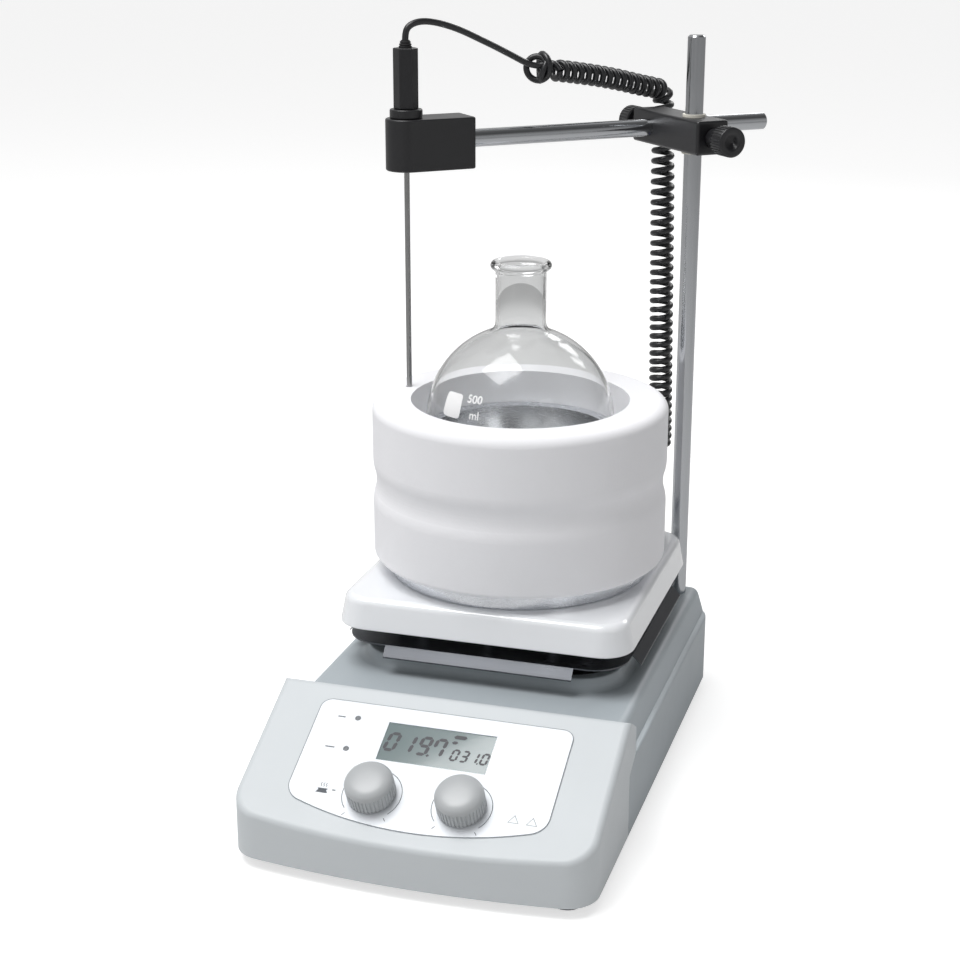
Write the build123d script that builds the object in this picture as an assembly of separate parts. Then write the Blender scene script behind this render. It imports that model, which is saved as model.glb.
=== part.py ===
"""Digital hotplate stirrer with a flask block, a support rod and a temperature probe.

Origin: where the stirring axis meets the bench. +X is right, +Y is back, +Z is up.
"""
import math
import os

from build123d import *

os.makedirs("parts", exist_ok=True)

# Housing
WALL = 2.5
HALF_WIDTH = 94.5
REAR_Y = 97.0
SEAM_Y = -123.0
CREST_SEAM_Y = -110.0
SEAM_STEP_Z = 40.0
BODY_BOTTOM = 6.0
DECK_Z = 60.0
SHOULDER_Z = 46.0
DECK_HALF = 86.5
REAR_CORNER = 14.0
PART_GAP = 0.3

# Sloped front panel: from its lower front edge up to its crest
FRONT_Y = -199.0
FRONT_BULGE = 7.5
FRONT_EDGE_Z = 31.65
CREST_Y = -122.7
CREST_Z = 69.7
FRONT_CORNER = 17.0
SLOPE = math.atan2(CREST_Z - FRONT_EDGE_Z, CREST_Y - FRONT_Y)

# Controls, in the panel's own plane: across, and up the slope
KNOB_X = 23.5
KNOB_S = 20.0
KNOB_R = 12.5
KNOB_HEIGHT = 12.6
KNOB_GAP = 1.4
LCD_WIDTH = 58.0
LCD_HEIGHT = 24.0
LCD_S = 53.2
LED_X = -45.7
LED_S = (64.9, 45.1)
SHAFT_R = 3.0
RUNNING_GAP = 0.06

# Plate stack
PAN_HALF = 67.5
COLLAR_HALF = 72.0
COLLAR_TOP = 66.5
TRAY_HALF = 79.0
TRAY_Z = 75.0
SHEET = 0.8
PLATE_HALF = 83.0
PLATE_BOTTOM = 84.4
PLATE_TOP = 101.5
PLATE_CORNER = 18.0
POST_R = 3.5

# Flask, its block and the insulating rings
FLASK_R = 52.5
FLASK_Z = 187.7
GLASS = 1.8
NECK_R = 14.0
NECK_BORE_R = 12.2
RIM_Z = 276.7
SEAT_GAP = 0.4
RING_BOTTOM = 110.3
RING_SPLIT = 154.0
RING_TOP = 199.3
RING_OUTER = 82.5
RING_INNER = 61.0
WAIST_DEPTH = 1.8
BLOCK_TOP = 180.0

# Rear panel: middle of each fitting, as seen from behind
INLET_X = -56.0
INLET_Z = 32.0
INLET_WIDE = 27.0
INLET_TALL = 20.0
FUSE_Z = 17.4
SWITCH_X = -18.0
SWITCH_Z = 30.0
ROCKER_TILT = 11.0
ROCKER_PIVOT_Y = REAR_Y - 3.0
PIN_R = 1.0
SENSOR_X = 50.0
SENSOR_Z = 33.0
VENT_XS = [4 + 5 * i for i in range(6)]

# Feet, bottom screws and drive
FOOT_PLACES = [(x, y) for x in (-78, 78) for y in (-184, 78)]
SCREW_PLACES = [(x, y) for x in (-60, 60) for y in (-150, -60, 55)]
SHAFT_TOP = 61.0
MOTOR_LOW = 16.0
MOTOR_HIGH = 48.0

# Support rod, clamp and arm
ROD_X = 76.2
ROD_Y = 86.0
ROD_R = 5.0
ROD_TOP = 392.0
ARM_Z = 337.5
ARM_OFFSET = 34.0
ARM_PAST_CLAMP = 68.0
CLAMP_HEIGHT = 19.0
CLAMP_DEPTH = 20.0
BUSH_R = 6.5
PROBE_X = -67.1
PROBE_Y = 4.8
PROBE_R = 1.5
PROBE_TIP = 199.7
POCKET_R = 2.0
POCKET_BOTTOM = 125.0
HOLDER_BOTTOM = 322.2
HOLDER_TOP = 350.5
HANDLE_TOP = 388.0
BOOT_HEIGHT = 4.0

# Probe lead
LEAD_D = 3.6
COIL_D = 13.0
DROP_D = 14.0

BASE = (Align.CENTER, Align.CENTER, Align.MIN)


def save(name, *solids):
    """Write one named piece, or one group of like pieces, to its own file."""
    shape = solids[0] if len(solids) == 1 else Compound(children=list(solids))
    export_step(shape, f"parts/{name}.step")


def drum(x, y, z_low, z_high, radius):
    return Pos(x, y, z_low) * Cylinder(radius, z_high - z_low, align=BASE)


def brick(x_span, y_span, z_span):
    """A box between two limits on each axis."""
    spans = (x_span, y_span, z_span)
    middle = [(low + high) / 2 for low, high in spans]
    return Pos(*middle) * Box(*[high - low for low, high in spans])


def slab(half, corner, z_low, z_high, taper=0):
    """A rounded square about the stirring axis."""
    outline = Pos(0, 0, z_low) * RectangleRounded(2 * half, 2 * half, corner)
    return extrude(outline, z_high - z_low, taper=taper)


def pipe(points, radii, radius):
    """A round bar along straight runs joined by tangent arcs."""
    path = FilletPolyline(*points, radius=radii) if radii else Polyline(*points)
    section = Plane(origin=path @ 0, z_dir=path % 0) * Circle(radius)
    return sweep(section, path=path)


def arc_radii(points, share=0.45):
    """The largest tangent arcs that the runs of a route allow."""
    radii = []
    for before, here, after in zip(points, points[1:], points[2:]):
        arriving = Vector(here) - Vector(before)
        leaving = Vector(after) - Vector(here)
        turn = math.radians(arriving.get_angle(leaving))
        shorter = min(arriving.length, leaving.length)
        radii.append(share * shorter / math.tan(turn / 2))
    return radii


def edges_at(shape, axis, value):
    """The edges whose middle lies at a given coordinate."""
    pick = {Axis.X: lambda p: p.X, Axis.Y: lambda p: p.Y, Axis.Z: lambda p: p.Z}[axis]
    return [e for e in shape.edges() if abs(pick(e.center()) - value) < 0.02]


def front_zone(offset):
    """Everything in front of the seam between the two shells, seen from the side."""
    points = [
        (-260, -60),
        (SEAM_Y + offset, -60),
        (SEAM_Y + offset, SEAM_STEP_Z),
        (CREST_SEAM_Y + offset, SHOULDER_Z + 1),
        (CREST_SEAM_Y + offset, 120),
        (-260, 120),
    ]
    return extrude(make_face(Plane.YZ * Polyline(*points, close=True)), 130, both=True)


# Front shell: the wedge that carries the sloped panel

def front_outline(inset):
    """The wedge seen from above: bulged front, rounded front corners."""
    half = HALF_WIDTH - inset
    front = FRONT_Y + inset
    rear = CREST_SEAM_Y + 1
    bulge = ThreePointArc((half, front), (0, front - FRONT_BULGE), (-half, front))
    sides = Polyline((-half, front), (-half, rear), (half, rear), (half, front))
    face = make_face(Curve() + [bulge, sides])
    corners = face.vertices().sort_by(Axis.Y)[:2]
    return fillet(corners, FRONT_CORNER - inset)


def front_profile(inset):
    """The wedge seen from the side, as (y, z)."""
    drop = math.tan(SLOPE)
    edge = FRONT_EDGE_Z - inset / math.cos(SLOPE)
    low = BODY_BOTTOM - 2 * inset
    ahead = 30
    points = [
        (FRONT_Y - ahead, low),
        (FRONT_Y - ahead, edge - ahead * drop),
        (CREST_Y, edge + (CREST_Y - FRONT_Y) * drop),
        (CREST_SEAM_Y + 1, DECK_Z + 1 - inset),
        (CREST_SEAM_Y + 1, low),
    ]
    return make_face(Plane.YZ * Polyline(*points, close=True))


def front_solid(inset):
    across = extrude(front_profile(inset), HALF_WIDTH + 5, both=True)
    plan = extrude(Pos(0, 0, -10) * front_outline(inset), 100)
    return across & plan & front_zone(-PART_GAP - inset)


PANEL = Plane(
    origin=(0, FRONT_Y, FRONT_EDGE_Z),
    x_dir=(1, 0, 0),
    z_dir=(0, -math.sin(SLOPE), math.cos(SLOPE)),
)


def on_panel(x, s, n, shape):
    """Place a shape on the panel: across, up the slope, and out of it."""
    return PANEL * Pos(x, s, n) * shape


def panel_drum(x, s, n_low, n_high, radius):
    return on_panel(x, s, n_low, Cylinder(radius, n_high - n_low, align=BASE))


def front_shell():
    outer = front_solid(0)
    slope = [f for f in outer.faces() if (f.normal_at() - PANEL.z_dir).length < 0.01][0]
    outer = fillet(slope.edges(), 3.5)
    shell = outer - front_solid(WALL)
    shell -= on_panel(0.5, LCD_S, -WALL, Box(LCD_WIDTH + 2, LCD_HEIGHT + 2, 4 * WALL))
    for x in (-KNOB_X, KNOB_X):
        shell -= panel_drum(x, KNOB_S, -2 * WALL, WALL, 4.2)
    for s in LED_S:
        shell -= panel_drum(LED_X, s, -2 * WALL, WALL, 1.6)
    return shell - partition_cuts()


def partition_cuts():
    """The openings in the inner walls for the bottom tray's rim and the wiring."""
    rim = brick((-HALF_WIDTH + WALL, HALF_WIDTH - WALL), (SEAM_Y - 8, CREST_SEAM_Y), (0, 12.5))
    return rim + brick((-20, 20), (SEAM_Y - 8, CREST_SEAM_Y), (12, 36))


def overlay_outline():
    """The printed film: round top corners, a bowed lower edge."""
    half, top, low, dip = 68.0, 75.1, 13.5, 1.0
    upper = Polyline((-half, low), (-half, top), (half, top), (half, low))
    lower = ThreePointArc((half, low), (0, dip), (-half, low))
    face = make_face(Curve() + [upper, lower])
    face = fillet(face.vertices().sort_by(Axis.Y)[-2:], 6)
    return fillet(face.vertices().sort_by(Axis.Y)[:2], 11)


def panel_overlay():
    film = PANEL * extrude(overlay_outline(), 0.4)
    film -= on_panel(0.5, LCD_S, 0, Box(LCD_WIDTH, LCD_HEIGHT, 2))
    for x in (-KNOB_X, KNOB_X):
        film -= panel_drum(x, KNOB_S, -1, 1, 4.2)
    for s in LED_S:
        film -= panel_drum(LED_X, s, -1, 1, 1.6)
    return film


# Rear housing: deck, sloped shoulders, straight walls and the raised collar

def rear_section(inset):
    """Half-symmetrical section across the housing, as (x, z)."""
    wall_x = HALF_WIDTH - inset
    step_x = 91.6 - inset
    deck_x = DECK_HALF - inset
    low = BODY_BOTTOM - 2 * inset
    right = [
        (wall_x, low),
        (wall_x, SHOULDER_Z - inset),
        (step_x, SHOULDER_Z + 0.6 - inset),
        (deck_x, DECK_Z - inset),
    ]
    left = [(-x, z) for x, z in reversed(right)]
    face = make_face(Plane.XZ * Polyline(*right, *left, close=True))
    if inset:
        return face
    soft = [v for v in face.vertices() if v.Z > DECK_Z - 0.1]
    face = fillet(soft, 5.0)
    lip = [v for v in face.vertices() if abs(abs(v.X) - wall_x) < 0.1 and v.Z > 40]
    return fillet(lip, 1.6)


def rear_solid(inset):
    rear = REAR_Y - inset
    across = Pos(0, rear, 0) * extrude(rear_section(inset), rear - SEAM_Y + 5)
    half = HALF_WIDTH - inset
    length = rear - SEAM_Y + 40
    plan = Pos(0, rear - length / 2, -20) * RectangleRounded(2 * half, length, REAR_CORNER - inset)
    return (across & extrude(plan, 120)) - front_zone(inset)


def rear_housing():
    outer = rear_solid(0)
    back_rim = [
        e for e in outer.edges()
        if e.center().Z > DECK_Z - 0.1 and e.center().Y > REAR_Y - REAR_CORNER
    ]
    outer = fillet(back_rim, 2.5)
    outer += slab(COLLAR_HALF + 3, 26, DECK_Z - 1, COLLAR_TOP, taper=22)
    foot = [
        e for e in outer.edges()
        if abs(e.center().Z - DECK_Z) < 0.05 and max(abs(e.center().X), abs(e.center().Y)) < COLLAR_HALF + 4
    ]
    outer = fillet(foot, 4.0)
    outer = fillet(edges_at(outer, Axis.Z, COLLAR_TOP), 1.2)
    shell = outer - rear_solid(WALL)
    shell -= slab(PAN_HALF, 22, DECK_Z, 80)
    shell -= drum(0, 0, 40, 90, 50)
    shell -= drum(ROD_X, ROD_Y, 30, 80, ROD_R)
    shell -= partition_cuts()
    for x, z, wide, tall in REAR_PANEL_CUTS:
        shell -= brick((x - wide / 2, x + wide / 2), (80, 100), (z - tall / 2, z + tall / 2))
    shell -= Pos(SENSOR_X, 90, SENSOR_Z) * Rot(90, 0, 0) * Cylinder(7.5, 30)
    for x in VENT_XS:
        shell -= brick((x - 1, x + 1), (80, 100), (17, 47))
    return shell


REAR_PANEL_CUTS = [
    (INLET_X, (INLET_Z + 10 + FUSE_Z - 4.4) / 2, INLET_WIDE, INLET_Z + 14.4 - FUSE_Z),
    (SWITCH_X, SWITCH_Z, 13.0, 19.4),
]


def pan_outline(inset):
    """The bottom tray seen from above: it follows the walls of both shells."""
    gap = WALL + 0.2 + inset
    front = front_outline(gap)
    rear = REAR_Y - gap
    length = rear - SEAM_Y
    half = HALF_WIDTH - gap
    return front + Pos(0, rear - length / 2, 0) * RectangleRounded(2 * half, length, REAR_CORNER - gap)


def bottom_pan():
    """Sheet tray that closes the housing from below, with a rim inside the walls."""
    rim = 1.2
    pan = extrude(Pos(0, 0, BODY_BOTTOM) * pan_outline(0), 6)
    pan -= extrude(Pos(0, 0, BODY_BOTTOM + rim) * pan_outline(rim), 10)
    for x, y in FOOT_PLACES:
        pan -= drum(x, y, 0, 20, 3.0)
    for x, y in SCREW_PLACES:
        pan -= drum(x, y, 0, 20, 1.8)
    return pan


def rubber_foot(x, y):
    pad = fillet(edges_at(drum(x, y, 0, BODY_BOTTOM, 9), Axis.Z, 0), 1.2)
    return pad + drum(x, y, BODY_BOTTOM, BODY_BOTTOM + 5, 3.0)


def pan_screw(x, y):
    head = drum(x, y, BODY_BOTTOM - 2.0, BODY_BOTTOM, 3.2)
    recess = Pos(x, y, BODY_BOTTOM - 2.0) * extrude(RegularPolygon(1.6, 6), 1.2)
    return head - recess + drum(x, y, BODY_BOTTOM, BODY_BOTTOM + 9, 1.7)


# Rear panel fittings

def mains_inlet():
    tall = (INLET_Z - INLET_TALL / 2, INLET_Z + INLET_TALL / 2)
    wide = (INLET_X - INLET_WIDE / 2, INLET_X + INLET_WIDE / 2)
    body = brick(wide, (REAR_Y - 18, REAR_Y + 1.5), tall)
    cavity = Pos(INLET_X, REAR_Y + 2, INLET_Z) * Rot(90, 0, 0)
    body -= cavity * extrude(RectangleRounded(24, 17, 2), 16)
    for x, z in ((-7, -1), (7, -1), (0, 3)):
        blade = Pos(INLET_X + x, REAR_Y - 8, INLET_Z + z) * Box(2, 14, 4)
        body += blade
    for x in (wide[0] - 2.5, wide[1] - 1.5):
        body += brick((x, x + 4), (REAR_Y, REAR_Y + 1.5), tall)
    return body


def fuse_drawer():
    face = brick((INLET_X - 12, INLET_X + 12), (REAR_Y, REAR_Y + 1.5), (FUSE_Z - 4, FUSE_Z + 4))
    tongue = brick((INLET_X - 9, INLET_X + 9), (REAR_Y - 16, REAR_Y), (FUSE_Z - 3, FUSE_Z + 3))
    grip = brick((INLET_X - 3, INLET_X + 3), (REAR_Y + 0.6, REAR_Y + 3), (FUSE_Z - 3, FUSE_Z + 3))
    tongue -= brick((INLET_X - 7, INLET_X + 7), (REAR_Y - 14, REAR_Y - 3), (FUSE_Z - 1, FUSE_Z + 4))
    return face + tongue - grip


def rocker_pin(radius, length):
    return Pos(SWITCH_X, ROCKER_PIVOT_Y, SWITCH_Z) * Rot(0, 90, 0) * Cylinder(radius, length)


def switch_frame():
    middle = Pos(SWITCH_X, REAR_Y, SWITCH_Z)
    outer = middle * Pos(0, 0.7, 0) * Box(16, 1.4, 22)
    outer += middle * Pos(0, -8, 0) * Box(12.8, 16, 19.2)
    outer -= middle * Pos(0, -3.5, 0) * Box(10.8, 17, 17.8)
    return outer - rocker_pin(PIN_R + RUNNING_GAP, 12.8)


def power_rocker():
    """Rocker at its off position; it turns about a pin across the housing."""
    outline = Polyline(
        (-8.0, 4.6), (0, 2.6), (8.0, 4.6), (6.4, -3.0), (-6.4, -3.0), close=True
    )
    bar = extrude(make_face(outline), 5.2, both=True)
    upright = Rot(90 + ROCKER_TILT, 0, 0) * Rot(0, 0, 90) * Rot(90, 0, 0) * bar
    return Pos(SWITCH_X, ROCKER_PIVOT_Y, SWITCH_Z) * upright + rocker_pin(PIN_R, 12.4)


def sensor_socket():
    along = Pos(SENSOR_X, REAR_Y + 1.6, SENSOR_Z) * Rot(90, 0, 0)
    flange = along * Cylinder(9, 1.6, align=BASE)
    barrel = along * Cylinder(7.5, 18, align=BASE)
    return flange + barrel - along * Cylinder(4.5, 12, align=BASE)


# Drive under the plate

def motor_stator():
    can = drum(0, 0, MOTOR_LOW, MOTOR_HIGH, 30)
    can -= drum(0, 0, MOTOR_LOW + 8, MOTOR_HIGH - 8, 16)
    can -= drum(0, 0, MOTOR_LOW - 1, MOTOR_LOW + 8.5, 11)
    return can - drum(0, 0, MOTOR_HIGH - 8.5, MOTOR_HIGH + 1, 11)


def rotor_bearing(z_low):
    return drum(0, 0, z_low, z_low + 7, 11) - drum(0, 0, z_low - 1, z_low + 8, 4 + RUNNING_GAP)


def motor_bracket():
    plate = slab(52, 6, MOTOR_HIGH, MOTOR_HIGH + 2)
    plate -= drum(0, 0, 40, 60, 20)
    for x in (-46, 46):
        for y in (-46, 46):
            plate += drum(x, y, BODY_BOTTOM + 1.2, MOTOR_HIGH, 4)
    return plate


def rotor_shaft():
    return drum(0, 0, 18, SHAFT_TOP, 4) + drum(0, 0, 26, 38, 14)


def magnet_carrier():
    disc = drum(0, 0, 56, 63, 42) - drum(0, 0, 50, 70, 4)
    for side in (-1, 1):
        disc -= Pos(side * 26, 0, 60) * Box(20.0, 24.0, 20, align=BASE)
    return disc


def drive_magnet(side):
    return Pos(side * 26, 0, 60) * Box(20.0, 24.0, 10, align=BASE)


# Pan, tray, posts and heating plate

def inner_pan():
    pan = slab(PAN_HALF - 0.2, 21.8, DECK_Z, COLLAR_TOP - 1)
    pan -= slab(PAN_HALF - 0.2 - SHEET, 21, DECK_Z + SHEET, 90)
    return pan - drum(0, 0, 50, 90, 46)


def tray_tab(turn):
    """Lip that turns down and out along one side of the tray."""
    corners = [(TRAY_HALF - 1, TRAY_Z), (TRAY_HALF + 0.3, TRAY_Z), (84.0, 69.9)]
    upper = [(84.0, 69.9 + SHEET), (TRAY_HALF + 0.4, TRAY_Z + SHEET), (TRAY_HALF - 1, TRAY_Z + SHEET)]
    lip = extrude(make_face(Plane.XZ * Polyline(*corners, *upper, close=True)), 53, both=True)
    return Rot(0, 0, turn) * lip


def reflector_tray():
    tray = slab(TRAY_HALF, 20, TRAY_Z, TRAY_Z + SHEET)
    for turn in (0, 90, 180, 270):
        tray += tray_tab(turn)
    for x, y in POST_PLACES:
        tray -= drum(x, y, 60, 90, POST_R + 0.1)
    return tray


POST_PLACES = (
    [(x, y) for x in (-37, 0, 37) for y in (-60, 60)]
    + [(x, y) for x in (-60, 60) for y in (-20, 20)]
    + [(x, y) for x in (-54, 54) for y in (-54, 54)]
)


def plate_post(x, y):
    return drum(x, y, DECK_Z + SHEET, PLATE_BOTTOM, POST_R) - drum(x, y, 50, 70, 1.6)


def heating_plate():
    plate = slab(PLATE_HALF, PLATE_CORNER, PLATE_BOTTOM, PLATE_TOP, taper=11)
    plate = fillet(edges_at(plate, Axis.Z, PLATE_TOP), 4.5)
    return fillet(edges_at(plate, Axis.Z, PLATE_BOTTOM), 0.8)


def heating_element():
    disc = drum(0, 0, PLATE_BOTTOM - 4, PLATE_BOTTOM, 44)
    return disc - drum(0, 0, PLATE_BOTTOM - 5, PLATE_BOTTOM + 1, 10)


def plate_insulation():
    return drum(0, 0, TRAY_Z + SHEET, PLATE_BOTTOM - 4, 44)


# Block, rings, flask and stir bar

def flask_block():
    block = drum(0, 0, PLATE_TOP, RING_BOTTOM, 74) + drum(0, 0, RING_BOTTOM, BLOCK_TOP, RING_INNER - 0.4)
    block -= Pos(0, 0, FLASK_Z) * Sphere(FLASK_R + SEAT_GAP)
    block = fillet(edges_at(block, Axis.Z, PLATE_TOP), 1.0)
    for turn in (45, 225):
        block -= Rot(0, 0, turn) * Pos(67.5, 0, 95) * Cylinder(2.5, 30)
    return block


def ring(rim_z, rim_round):
    """One insulating ring, from the seam at the shallow waist to its own rim."""
    side = math.copysign(1, rim_z - RING_SPLIT)
    outline = Polyline(
        (RING_INNER, RING_SPLIT),
        (RING_OUTER - WAIST_DEPTH, RING_SPLIT),
        (RING_OUTER - WAIST_DEPTH, RING_SPLIT + side * 3.5),
        (RING_OUTER, RING_SPLIT + side * 9.5),
        (RING_OUTER, rim_z),
        (RING_INNER, rim_z),
        close=True,
    )
    section = make_face(Plane.XZ * outline)
    waist = [v for v in section.vertices() if 1 < abs(v.Z - RING_SPLIT) < 12]
    section = fillet(waist, 18)
    rim = [
        v for v in section.vertices()
        if abs(v.Z - rim_z) < 0.1 and v.X > RING_OUTER - 0.1
    ]
    body = revolve(fillet(rim, rim_round), Axis.Z)
    return body - drum(PROBE_X, PROBE_Y, POCKET_BOTTOM, 220, POCKET_R)


def flask():
    outer = Pos(0, 0, FLASK_Z) * Sphere(FLASK_R) + drum(0, 0, FLASK_Z + 30, RIM_Z, NECK_R)
    shoulder = [
        e for e in outer.edges()
        if abs(e.length - 2 * math.pi * NECK_R) < 0.5 and e.center().Z < RIM_Z - 5
    ]
    outer = fillet(shoulder, 6)
    rim = Pos(0, 0, RIM_Z - 2.2) * Torus(NECK_R + 0.4, 2.2)
    outer += rim
    bore = drum(0, 0, FLASK_Z, RIM_Z + 5, NECK_BORE_R)
    return outer - bore - Pos(0, 0, FLASK_Z) * Sphere(FLASK_R - GLASS)


def stir_bar():
    length, radius = 30.0, 3.5
    z = FLASK_Z - math.sqrt((FLASK_R - GLASS - radius - 0.3) ** 2 - (length / 2 - radius) ** 2)
    bar = Pos(0, 0, z) * Rot(0, 90, 0) * Cylinder(radius, length)
    return fillet(bar.edges().filter_by(GeomType.CIRCLE), radius - 0.3)


# Knobs and encoders

def knob(x):
    skirt = panel_drum(x, KNOB_S, KNOB_GAP, KNOB_GAP + KNOB_HEIGHT, KNOB_R)
    top = [e for e in skirt.edges() if (e.center() - PANEL.origin).dot(PANEL.z_dir) > KNOB_HEIGHT]
    skirt = fillet(top, 3.0)
    return skirt - panel_drum(x, KNOB_S, 0, 9, SHAFT_R)


def knob_shaft(x):
    return panel_drum(x, KNOB_S, -12, 9, SHAFT_R)


def dial_plunger(x):
    return panel_drum(x, KNOB_S, -13.2, -12, 2.6)


def encoder_body(x):
    body = on_panel(x, KNOB_S, -16, Box(13, 13, 7, align=BASE))
    body += panel_drum(x, KNOB_S, -9, -WALL - 0.1, 5.0)
    return body - panel_drum(x, KNOB_S, -14.6, 0, SHAFT_R + RUNNING_GAP)


def lcd_module():
    glass = on_panel(0.5, LCD_S, -4, Box(LCD_WIDTH + 1.6, LCD_HEIGHT + 1.6, 4, align=BASE))
    return glass + on_panel(0.5, LCD_S, -5.6, Box(LCD_WIDTH + 8, LCD_HEIGHT + 8, 1.6, align=BASE))


def control_board():
    return on_panel(0, 38, -17.6, Box(124, 56, 1.6, align=BASE))


def power_board():
    return brick((-84, -12), (-112, -66), (10, 12))


def status_led(s):
    lens = panel_drum(LED_X, s, -4, 0.3, 1.5)
    return lens + panel_drum(LED_X, s, -16, -4, 2.2)


# Support rod and clamp. The clamp's own plane has x along the block and z up.
REACH = math.hypot(ROD_X - PROBE_X, ROD_Y - PROBE_Y)
ARM_TURN = math.atan2(ROD_Y - PROBE_Y, ROD_X - PROBE_X) + math.asin(ARM_OFFSET / REACH)
ARM_RUN = math.sqrt(REACH ** 2 - ARM_OFFSET ** 2)
ARM_DIR = (math.cos(ARM_TURN), math.sin(ARM_TURN), 0)
SIDE_DIR = (-math.sin(ARM_TURN), math.cos(ARM_TURN), 0)
CLAMP = Plane(origin=(ROD_X, ROD_Y, ARM_Z), x_dir=SIDE_DIR, z_dir=(0, 0, 1))
ARM_AXIS = Plane(origin=(PROBE_X, PROBE_Y, ARM_Z), x_dir=SIDE_DIR, z_dir=ARM_DIR)
BLOCK_LOW, BLOCK_HIGH = -21.0, ARM_OFFSET + 19.0


def along_block(low, high, radius):
    """A cylinder along the clamp block, between two distances from the rod."""
    return CLAMP * Pos(low, 0, 0) * Rot(0, 90, 0) * Cylinder(radius, high - low, align=BASE)


def along_arm(low, high, radius):
    return ARM_AXIS * Pos(0, 0, low) * Cylinder(radius, high - low, align=BASE)


def clamp_block():
    length = BLOCK_HIGH - BLOCK_LOW
    block = CLAMP * Pos((BLOCK_LOW + BLOCK_HIGH) / 2, 0, 0) * Box(length, CLAMP_DEPTH, CLAMP_HEIGHT)
    block = fillet(block.edges(), 1.6)
    block -= drum(ROD_X, ROD_Y, 300, 380, BUSH_R + RUNNING_GAP)
    block -= along_arm(ARM_RUN - 20, ARM_RUN + 20, ROD_R + RUNNING_GAP)
    block -= along_block(BLOCK_LOW - 2, 0, 3 + RUNNING_GAP)
    return block - along_block(ARM_OFFSET, BLOCK_HIGH + 2, 3 + RUNNING_GAP)


def rod_bush():
    sleeve = drum(ROD_X, ROD_Y, ARM_Z - 11, ARM_Z + 11, BUSH_R)
    return sleeve - drum(ROD_X, ROD_Y, 300, 380, ROD_R + RUNNING_GAP)


def thumb_screw(tip, block_end, sign):
    """Moulded head on a steel stud; sign gives the end of the block."""
    neck, head = block_end + sign, block_end + sign * 10
    end = head + sign * 11
    grip = fillet(along_block(min(head, end), max(head, end), 8.5).edges().filter_by(GeomType.CIRCLE), 1.2)
    stud = along_block(min(tip, neck), max(tip, neck), 3)
    return grip + along_block(min(neck, head), max(neck, head), 5.5) + stud


def arm_rod():
    bar = along_arm(13, ARM_RUN + ARM_PAST_CLAMP, ROD_R)
    return chamfer(bar.edges().filter_by(GeomType.CIRCLE), 0.8)


def probe_holder():
    """Moulded block: round at the probe, square where the arm goes in."""
    half, length = 11.5, 37.0
    place = Plane(origin=(PROBE_X, PROBE_Y, HOLDER_BOTTOM), x_dir=ARM_DIR, z_dir=(0, 0, 1))
    nose = ThreePointArc((0, half), (-half, 0), (0, -half))
    rest = Polyline((0, -half), (length, -half), (length, half), (0, half))
    outline = make_face(Curve() + [nose, rest])
    outline = fillet(outline.vertices().sort_by(Axis.X)[-2:], 2.0)
    body = extrude(outline, HOLDER_TOP - HOLDER_BOTTOM)
    body = place * fillet(edges_at(body, Axis.Z, 0) + edges_at(body, Axis.Z, HOLDER_TOP - HOLDER_BOTTOM), 1.0)
    body -= drum(PROBE_X, PROBE_Y, 300, 380, PROBE_R + RUNNING_GAP)
    body -= along_arm(13, 60, ROD_R)
    return body - along_holder(0, 20, 2)


def along_holder(low, high, radius):
    """A cylinder across the holder at its set screw."""
    spot = Plane(origin=ARM_AXIS.origin, x_dir=ARM_DIR, z_dir=SIDE_DIR)
    return spot * Pos(27, 0, low) * Cylinder(radius, high - low, align=BASE)


def holder_set_screw():
    screw = along_holder(ROD_R, 11, 2)
    spot = Plane(origin=ARM_AXIS.origin, x_dir=ARM_DIR, z_dir=SIDE_DIR)
    return screw - spot * Pos(27, 0, 9) * extrude(RegularPolygon(1.15, 6), 5)


def probe_collar():
    nut = drum(PROBE_X, PROBE_Y, HOLDER_TOP, HOLDER_TOP + 5, 9)
    nut = fillet(nut.edges().filter_by(GeomType.CIRCLE), 0.8)
    return nut - drum(PROBE_X, PROBE_Y, 340, 370, PROBE_R)


def probe_handle():
    outline = Pos(PROBE_X, PROBE_Y, HOLDER_TOP + 5) * RegularPolygon(6.9, 6, rotation=20)
    grip = extrude(outline, HANDLE_TOP - HOLDER_TOP - 5)
    grip = fillet(grip.edges(), 0.7)
    return grip - drum(PROBE_X, PROBE_Y, 340, HOLDER_TOP + 12, PROBE_R)


def lead_boot():
    base = Pos(PROBE_X, PROBE_Y, HANDLE_TOP)
    return base * Cone(3.6, 2.4, BOOT_HEIGHT, align=BASE)


# The probe's lead, from the handle to the rear socket
LEAD_ROUTE = [
    (PROBE_X, PROBE_Y, HANDLE_TOP + BOOT_HEIGHT),
    (PROBE_X, PROBE_Y, 396.6),
    (-64.8, 7.0, 400.2),
    (-59.8, 11.8, 401.8),
    (-53.0, 19.4, 400.4),
    (-44.6, 29.6, 396.4),
    (-35.4, 40.4, 390.2),
    (-26.4, 51.8, 383.8),
    (-17.4, 61.6, 377.2),
]
KNOT = Vector(-8.6, 72.0, 372.7)
DROP_TOP = Vector(45.2, 152.4, 322.0)
DROP_FOOT = Vector(49.8, 150.0, 128.0)
DROP_DIR = (DROP_FOOT - DROP_TOP).normalized()
DROP_SPLIT = DROP_TOP + DROP_DIR * 106
COIL_END = DROP_TOP - DROP_DIR * 31.5
COIL_DIR = (COIL_END - KNOT).normalized()
KNOT_R = 10.5
KNOT_HALF = 9.0
COIL_BEND = 15.0
TAIL_ROUTE = [
    DROP_FOOT,
    DROP_FOOT + DROP_DIR * 17,
    (49.2, 153.2, 94.0),
    (50.6, 157.6, 77.5),
    (50.0, 159.0, 60.5),
    (49.8, 156.4, 45.0),
    (SENSOR_X, 147.4, SENSOR_Z),
    (SENSOR_X, REAR_Y + 37.0, SENSOR_Z),
]


def cord_lead():
    return pipe(LEAD_ROUTE, arc_radii(LEAD_ROUTE), LEAD_D / 2)


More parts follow.
